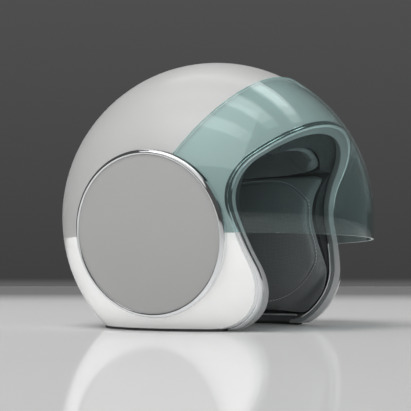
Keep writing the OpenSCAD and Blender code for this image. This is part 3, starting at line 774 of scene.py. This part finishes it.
def seam_rings(patch, angle, rings):
    """Ring distances for a cheek pad, with fine rings along its sewn channel."""
    reach = patch.reach_at(angle)
    seam = seam_at(patch, angle)
    half = min(4.0, (reach - seam) * 0.5)
    inner = rings - 14
    out = [(seam - half) * j / inner for j in range(inner + 1)]
    out += [seam - half + 2 * half * j / 6 for j in range(1, 7)]
    return out + [seam + half + (reach - seam - half) * (1.0 - (1.0 - j / 8) ** 1.5) for j in range(1, 9)]


def bell(distance, width):
    return math.exp(-(distance / width) ** 2)


def from_seam(p):
    """Signed distance of a point on a cheek pad from its sewn channel."""
    y, z = p.y - SEAM_C[0], p.z - SEAM_C[1]
    return math.hypot(y, z) - seam_at(cheek_patch, math.atan2(z, y) % (2 * math.pi))


def cheek_groove(p, normal):
    """The sewn channel on the face of a cheek pad, between softly raised fields."""
    if abs(normal.x) < 0.4 or abs(p.x) > 84.5 or normal.x * p.x > 0:
        return 0.0
    away = from_seam(p)
    if away < 0:
        puff = 0.3 * max(0.0, 1.0 - (away / 16.0) ** 2)
    else:
        puff = 0.2 * max(0.0, 1.0 - ((away - 7.0) / 7.0) ** 2)
    return 0.9 * bell(away, 1.2) - puff


def hold_cheek(p):
    """Keeps a cheek pad inside its room."""
    if p.length > PAD_RIM_R:
        p = p * (PAD_RIM_R / p.length)
    limit = cheek_back(p.y, p.z)
    p.x = max(-limit, min(limit, p.x))
    return p


cheek_patch = Patch(SEAM_C, cheek_inside, lambda y, z: 3.5 if z > 38.0 or y > 47.0 else 12.0, 2)
cheek_pads = {}
for side, word in ((1, "left"), (-1, "right")):
    cheek_pads[side] = pillow("cheek_cushion_" + word, "cheek_pad_" + word, cheek_patch,
                              cheek_place(side), 34, cheek_groove, hold_cheek, spacing=seam_rings)

# The crown's map is measured along great circles from its pole
CROWN_POLE = Vector((0.0, 0.35, 0.93)).normalized()
CROWN_SIDE = Vector((1.0, 0.0, 0.0))
CROWN_BACK = CROWN_POLE.cross(CROWN_SIDE) * -1.0
CROWN_MAP_R = 100.0


def crown_direction(u, v):
    away = math.hypot(u, v)
    if away == 0.0:
        return CROWN_POLE.copy()
    across = (CROWN_SIDE * u + CROWN_BACK * v) / away
    return CROWN_POLE * math.cos(away / CROWN_MAP_R) + across * math.sin(away / CROWN_MAP_R)


def crown_place(u, v, t):
    d = crown_direction(u, v)
    wide = max(abs(d.x), 0.01)
    back = min(soft_min(LINER_R, LINER_X / wide, 6.0), LINER_X / wide)
    face = soft_min(97.0, 77.0 / wide, 12.0)
    return tuple(d * (back + (face - back) * t))


def crown_inside(u, v):
    x, y, z = crown_place(u, v, 0.0)
    if z < -21.7 or (y < 52.7 and z < 45.7):
        return False
    return not in_opening(y, z)


def crown_width(u, v):
    """The crown thins out gently towards the brow and turns sharply where it meets the other pads."""
    x, y, z = crown_place(u, v, 0.0)
    return 16.0 if y < 0 and z > 47.0 else 3.5


def crown_groove(p, normal):
    """Two seams from front to back and one across, on the side that faces the head."""
    if normal.dot(p) > 0:
        return 0.0
    lengthways = 1.8 * bell(abs(p.x) - 34.0, 1.6)
    across = 1.4 * bell(p.y - 20.0, 1.6) if abs(p.x) < 34.0 else 0.0
    return max(lengthways, across) - 0.3


def hold_in_liner(p):
    """Keeps a pad clear of the liner round it."""
    if p.length > LINER_R:
        p = p * (LINER_R / p.length)
    p.x = max(-LINER_X, min(LINER_X, p.x))
    return p


crown_patch = Patch((0.0, 0.0), crown_inside, crown_width, 6)
pillow("crown_cushion", "crown_lining", crown_patch, crown_place, 40, crown_groove, hold_in_liner)

# The neck pad's map runs round the back of the head space
NECK_MAP_R = 90.0


def neck_back(z):
    return cone_reach(z, LINER_R)


def neck_place(u, v, t):
    angle = u / NECK_MAP_R
    wide = max(abs(math.sin(angle)), 0.01)
    back = min(neck_back(v), LINER_X / wide)
    r = back - 10.6 * t
    return (r * math.sin(angle), r * math.cos(angle), v)


def neck_inside(u, v):
    x, y, z = neck_place(u, v, 0.0)
    return y > 52.8 and -86.6 < z < -22.8


def neck_groove(p, normal):
    if normal.dot(p) > 0:
        return 0.0
    return 1.6 * bell(p.z + 54.0, 1.5) - 0.3


def hold_neck(p):
    """Keeps the neck pad clear of the liner behind it."""
    flat = math.hypot(p.x, p.y)
    limit = neck_back(p.z)
    if flat > limit:
        p.x *= limit / flat
        p.y *= limit / flat
    p.x = max(-LINER_X, min(LINER_X, p.x))
    return p


neck_patch = Patch((0.0, -54.5), neck_inside, lambda u, v: 6.0 if v > -30.0 or v < -80.0 else 10.0, 4)
pillow("neck_cushion", "neck_pad", neck_patch, neck_place, 26, neck_groove, hold_neck)


# Stitches: short raised threads laid on a pad or strap
def threads(name, runs, slot, thread=None, radius=0.28, body="shell"):
    """Each run is a list of (point, direction, up) for one stitch of its own length."""
    verts = []
    faces = []
    for point, along, up in runs:
        aside = along.cross(up).normalized()
        rings = []
        for t, lift, size in ((-1.0, -0.35, 0.55), (-0.6, 0.1, 1.0), (0.6, 0.1, 1.0), (1.0, -0.35, 0.55)):
            middle = point + along * t + up * (lift * radius * 1.5)
            spokes = [aside * math.cos(a) + up.normalized() * math.sin(a)
                      for a in (2 * math.pi * k / 6 for k in range(6))]
            rings.append([tuple(middle + spoke * radius * size) for spoke in spokes])
        new_verts, new_faces = loft(rings)
        faces += [tuple(i + len(verts) for i in f) for f in new_faces]
        verts += new_verts
    piece = make(name, verts, faces, slot, body=body)
    if thread:
        piece.data.materials[0] = materials[thread]
    return piece


def pad_stitches(name, pad, side):
    """A row of stitches beside the sewn channel, laid on the swollen pad; their pale thread is a painted
    highlight along the channel.
    """
    tree = BVHTree.FromObject(pad, bpy.context.evaluated_depsgraph_get())
    runs = []
    count = 116
    for i in range(count):
        a = 2 * math.pi * i / count
        radius = seam_at(cheek_patch, a) + 1.9
        y = SEAM_C[0] + radius * math.cos(a)
        z = SEAM_C[1] + radius * math.sin(a)
        hit, normal = tree.ray_cast(row(side * 55.0, y, z), Vector((side, 0, 0)), 0.0305)[:2]
        if hit is None or abs(normal.x) < 0.6:
            continue
        along = Vector((0, -math.sin(a), math.cos(a)))
        along = (along - normal * along.dot(normal)).normalized() * 1.25
        runs.append((about_centre(hit), along, normal))
    return threads(name, runs, "lining", "thread", radius=0.3)


for side, word in ((1, "left"), (-1, "right")):
    pad_stitches("cheek_stitches_" + word, cheek_pads[side], side)

# Chin straps: woven webbing swept along the solids' route, with soft bends
STRAP_Y = 14.0
STRAP_W = 20.0
STRAP_T = 1.6
STRAP_Z = -92.0
TAB_PLANE = 113.94 - 4.5 - 1.5 - 0.3


def tab_x(z):
    return (TAB_PLANE + z * math.sin(POD_TILT)) / math.cos(POD_TILT) - STRAP_T / 2


TAB_END = -(24.0 - 8.0 + 30.0) * math.cos(POD_TILT) - TAB_PLANE * math.sin(POD_TILT)
STRAP_PATH = [
    (tab_x(TAB_END + 11.0), TAB_END + 11.0),
    (tab_x(TAB_END - 11.0), TAB_END - 11.0),
    (ROLL_IN - 1.9, -83.5),
    (ROLL_IN - 4.6, -87.6),
    (ROLL_IN - 7.6, STRAP_Z + 1.2),
    (ROLL_IN - 12.6, STRAP_Z),
]
BAR_X = 35.0
BAR_Z = STRAP_Z + STRAP_T / 2 + 1.2 + 0.1
TURN_R = 1.2 + STRAP_T / 2 + 0.1
FOLD_Z = STRAP_Z + STRAP_T + 0.1


def softened(points, rounds=2):
    """Cuts the corners of an open path, keeping its ends."""
    for _ in range(rounds):
        cut = [points[0]]
        for p, q in zip(points, points[1:]):
            cut.append(tuple(a * 0.75 + b * 0.25 for a, b in zip(p, q)))
            cut.append(tuple(a * 0.25 + b * 0.75 for a, b in zip(p, q)))
        cut.append(points[-1])
        points = cut
    return points


def resampled(points, step):
    """Points at even steps along a path."""
    lengths = [0.0]
    for p, q in zip(points, points[1:]):
        lengths.append(lengths[-1] + math.dist(p, q))
    count = max(2, round(lengths[-1] / step))
    out = []
    k = 0
    for i in range(count + 1):
        s = lengths[-1] * i / count
        while k < len(lengths) - 2 and lengths[k + 1] < s:
            k += 1
        t = (s - lengths[k]) / (lengths[k + 1] - lengths[k])
        out.append(tuple(a + (b - a) * t for a, b in zip(points[k], points[k + 1])))
    return out


def webbing_strip(name, path, side, width, thick, y_mid, slot, replaced, body="shell"):
    """A woven strip swept along a path of (x, z), with rolled edges and a map that runs along it."""
    path = resampled(path, 1.5)
    half = width / 2
    across = [-half, -half + 0.25, -half + 1.2]
    across += spread(-half + 2.4, half - 2.4, 9)
    across += [half - 1.2, half - 0.25, half]
    lift = [0.25, 0.8, 1.0] + [0.94] * 9 + [1.0, 0.8, 0.25]
    profile = [(w, h * thick / 2) for w, h in zip(across, lift)]
    profile += [(w, -h * thick / 2) for w, h in zip(reversed(across), reversed(lift))]
    rings = []
    travelled = [0.0]
    for i, (x, z) in enumerate(path):
        x0, z0 = path[max(i - 1, 0)]
        x1, z1 = path[min(i + 1, len(path) - 1)]
        length = math.hypot(x1 - x0, z1 - z0)
        nx, nz = -(z1 - z0) / length, (x1 - x0) / length
        rings.append([(side * (x + nx * h), y_mid + w, z + nz * h) for w, h in profile])
        if i:
            travelled.append(travelled[-1] + math.dist(path[i - 1], path[i]))
    verts, faces = loft(rings)
    piece = make(name, verts, faces, slot, body=body, replaced=replaced, smooth_under=75.0)
    uv = piece.data.uv_layers.new(name="weave")
    n = len(profile)
    for polygon in piece.data.polygons:
        for loop in polygon.loop_indices:
            v = piece.data.loops[loop].vertex_index
            uv.data[loop].uv = (travelled[v // n] / 1000, profile[v % n][0] / 1000)
    return piece


left_path = softened(STRAP_PATH + [(3.0, STRAP_Z)])
webbing_strip("webbing_left", left_path, 1, STRAP_W, STRAP_T, STRAP_Y, "webbing", ["chin_strap_left"])
turn = [(BAR_X + TURN_R * math.cos(math.radians(a)), BAR_Z + TURN_R * math.sin(math.radians(a)))
        for a in range(-90, -301, -15)]
right_path = softened(STRAP_PATH + [(BAR_X + 6.0, STRAP_Z)]) + turn
right_path += [(BAR_X + 5.0, FOLD_Z), (BAR_X + 16.0, FOLD_Z)]
webbing_strip("webbing_right", right_path, -1, STRAP_W, STRAP_T, STRAP_Y, "webbing", ["chin_strap_right"])

# A stitched box with a cross holds the right strap's fold
box_runs = []
fold_top = FOLD_Z + STRAP_T / 2
x_low, x_high = -(BAR_X + 15.0), -(BAR_X + 6.5)
y_low, y_high = STRAP_Y - 7.5, STRAP_Y + 7.5
corners = [(x_low, y_low), (x_high, y_low), (x_high, y_high), (x_low, y_high)]
box_lines = list(zip(corners, corners[1:] + corners[:1]))
box_lines += [(corners[0], corners[2]), (corners[1], corners[3])]
for start, end in box_lines:
    length = math.dist(start, end)
    count = max(2, round(length / 2.2))
    along = Vector((end[0] - start[0], end[1] - start[1], 0)).normalized() * 0.75
    for i in range(count):
        t = (i + 0.5) / count
        middle = Vector((start[0] + (end[0] - start[0]) * t, start[1] + (end[1] - start[1]) * t, fold_top))
        box_runs.append((middle, along, Vector((0, 0, 1))))
threads("strap_stitches", box_runs, "webbing", radius=0.22)

# The lever's pull ribbon: a folded loop of red tape with a soft curl
RIBBON_Z = -82.08
ribbon_path = [(x, RIBBON_Z + lift) for x, lift in (
    (31.0, 0.3), (38.0, 0.3), (42.0, 0.35), (46.2, 0.25), (46.9, 0.5), (46.2, 0.8), (42.0, 0.85),
    (38.0, 0.78), (33.0, 0.78))]
webbing_strip("pull_tape", softened(ribbon_path), -1, 8.0, 0.42, STRAP_Y, "ribbon_red", ["pull_ribbon"],
              body="buckle_lever")

# Small hard parts keep their solids and get softened edges
EDGE_WIDTHS = {
    "buckle_frame": 0.35, "buckle_lever": 0.4, "ladder_strip": 0.2, "anchor_tabs": 0.3, "strap_rivets": 0.3,
    "ladder_rivets": 0.2, "pivot_screws": 0.3, "plate_screws": 0.15, "foot_strip": 0.4, "pad_snaps": 0.4,
    "pivot_bushes": 0.15, "lever_spring": 0.1, "friction_washers": 0.1
}
for name, width in EDGE_WIDTHS.items():
    bevel = nodes[name].modifiers.new("Edges", "BEVEL")
    bevel.width = width / 1000
    bevel.segments = 2
    bevel.limit_method = "ANGLE"
    bevel.angle_limit = math.radians(50)
    bevel.use_clamp_overlap = True
    bevel.harden_normals = True

# Pale polished floor with painted light and shade: darker towards the camera, paler behind the object and
# darker far away
FLOOR_NEAR_PAINTED_SHADE = (0.62, 0.62, 0.62)
FLOOR_PAINTED_LIGHT = (0.92, 0.92, 0.92)
FLOOR_FAR_PAINTED_SHADE = (0.45, 0.45, 0.45)


def floor_material():
    g = Graph("floor")
    behind = g.add("ShaderNodeVectorMath", {0: g.coords, 1: (0.9, 0.44, 0.0)}, operation="DOT_PRODUCT")
    behind = behind.outputs["Value"]
    # The floor's tone changes with place: painted light behind the object, painted shade in front of it and
    # far away.
    paler = g.blend(g.ramp(behind, 0.0, 1.0, -0.4, 1.2), rgb(*FLOOR_NEAR_PAINTED_SHADE), rgb(*FLOOR_PAINTED_LIGHT))
    colour = g.blend(g.ramp(behind, 0.0, 1.0, 1.5, 3.4), paler, rgb(*FLOOR_FAR_PAINTED_SHADE))
    diffuse = g.add("ShaderNodeBsdfDiffuse", {"Color": colour})
    gloss = g.add("ShaderNodeBsdfGlossy", {"Color": rgb(1, 1, 1), "Roughness": 0.06})
    facing = g.add("ShaderNodeLayerWeight", {"Blend": 0.5}).outputs["Facing"]
    mirrored = g.math("MINIMUM", g.math("MULTIPLY_ADD", g.math("POWER", facing, 5.0), 0.96, 0.04), 0.36)
    mix = g.add("ShaderNodeMixShader", {0: mirrored, 1: diffuse.outputs[0], 2: gloss.outputs[0]})
    return g.finish(mix.outputs[0])


FLOOR_REACH = 40.0
floor_mesh = bpy.data.meshes.new("floor")
floor_mesh.from_pydata([(-FLOOR_REACH, -FLOOR_REACH, 0), (FLOOR_REACH, -FLOOR_REACH, 0),
                        (FLOOR_REACH, FLOOR_REACH, 0), (-FLOOR_REACH, FLOOR_REACH, 0)], [], [(0, 1, 2, 3)])
floor_mesh.materials.append(floor_material())
floor = bpy.data.objects.new("floor", floor_mesh)
bpy.context.scene.collection.objects.link(floor)

# Light: three strips under the ceiling along Y, each in lengths that dim towards the face's side
STRIP_X = ((620.0, 1.0), (-45.0, 0.7), (-720.0, 0.45))
STRIP_W = 0.32
STRIP_Z = 1500.0
LENGTHS = ((-1000.0, 200.0, 0.35), (-800.0, 200.0, 0.7), (-350.0, 700.0, 1.0), (450.0, 900.0, 1.0))
RADIANCE = 2.5
for i, (x, level) in enumerate(STRIP_X):
    for j, (y, length, share) in enumerate(LENGTHS):
        light = bpy.data.lights.new("strip_%d_%d" % (i, j), "AREA")
        light.shape = "RECTANGLE"
        light.size = STRIP_W
        light.size_y = length / 1000
        light.energy = RADIANCE * level * share * math.pi * light.size * light.size_y
        lamp = bpy.data.objects.new(light.name, light)
        bpy.context.scene.collection.objects.link(lamp)
        lamp.location = row(x, y, STRIP_Z)
        lamp.visible_diffuse = False


def soft_box(name, place, size, radiance):
    """A square lamp aimed at the helmet."""
    light = bpy.data.lights.new(name, "AREA")
    light.shape = "SQUARE"
    light.size = size
    light.energy = radiance * math.pi * size ** 2
    lamp = bpy.data.objects.new(name, light)
    bpy.context.scene.collection.objects.link(lamp)
    lamp.location = place
    lamp.rotation_euler = (row(0, 0, 0) - place).to_track_quat("-Z", "Y").to_euler()
    return lamp


# The key lamp above the near side, and a large card that only polished and clear pieces mirror
soft_box("key", row(-1000.0, 0.0, 1730.0), 1.2, 7.6).visible_glossy = False
soft_box("card", row(-1050.0, -260.0, 1680.0), 2.0, 0.7).visible_diffuse = False

# Room: even light on the object, and a dark grey backdrop for whatever sees it
world = bpy.data.worlds.new("room")
bpy.context.scene.world = world
world.use_nodes = True
tree = world.node_tree
tree.nodes.clear()


def join(kind, **ins):
    node = tree.nodes.new(kind)
    for key, value in ins.items():
        socket = node.inputs[int(key[1:])] if key[0] == "_" else node.inputs[key.replace("_", " ")]
        if isinstance(value, bpy.types.NodeSocket):
            tree.links.new(value, socket)
        else:
            socket.default_value = value
    return node


def larger(a, b):
    node = join("ShaderNodeMath", _0=a, _1=b)
    node.operation = "MAXIMUM"
    return node.outputs[0]


ray = join("ShaderNodeLightPath").outputs
seen_by = larger(ray["Is Camera Ray"], larger(ray["Is Glossy Ray"], ray["Is Transmission Ray"]))
upward = join("ShaderNodeSeparateXYZ", Vector=join("ShaderNodeTexCoord").outputs["Generated"]).outputs["Z"]
backdrop = join("ShaderNodeMapRange", Value=upward, From_Min=0.0, From_Max=0.28, To_Min=0.05, To_Max=0.078)
sky = join("ShaderNodeMapRange", Value=upward, From_Min=0.0, From_Max=1.0, To_Min=1.65, To_Max=0.0)
lit = join("ShaderNodeBackground", Color=rgb(1, 1, 1), Strength=sky.outputs["Result"])
haze = join("ShaderNodeMapRange", Value=upward, From_Min=0.0, From_Max=0.008, To_Min=0.07, To_Max=0.0)
haze.interpolation_type = "SMOOTHSTEP"
glow = join("ShaderNodeMath", _0=backdrop.outputs["Result"], _1=haze.outputs["Result"])
seen = join("ShaderNodeBackground", Color=rgb(1, 1, 1), Strength=glow.outputs[0])
room = join("ShaderNodeMixShader", _0=seen_by, _1=lit.outputs[0], _2=seen.outputs[0])
join("ShaderNodeOutputWorld", Surface=room.outputs[0])

bpy.context.scene.view_settings.view_transform = "Standard"
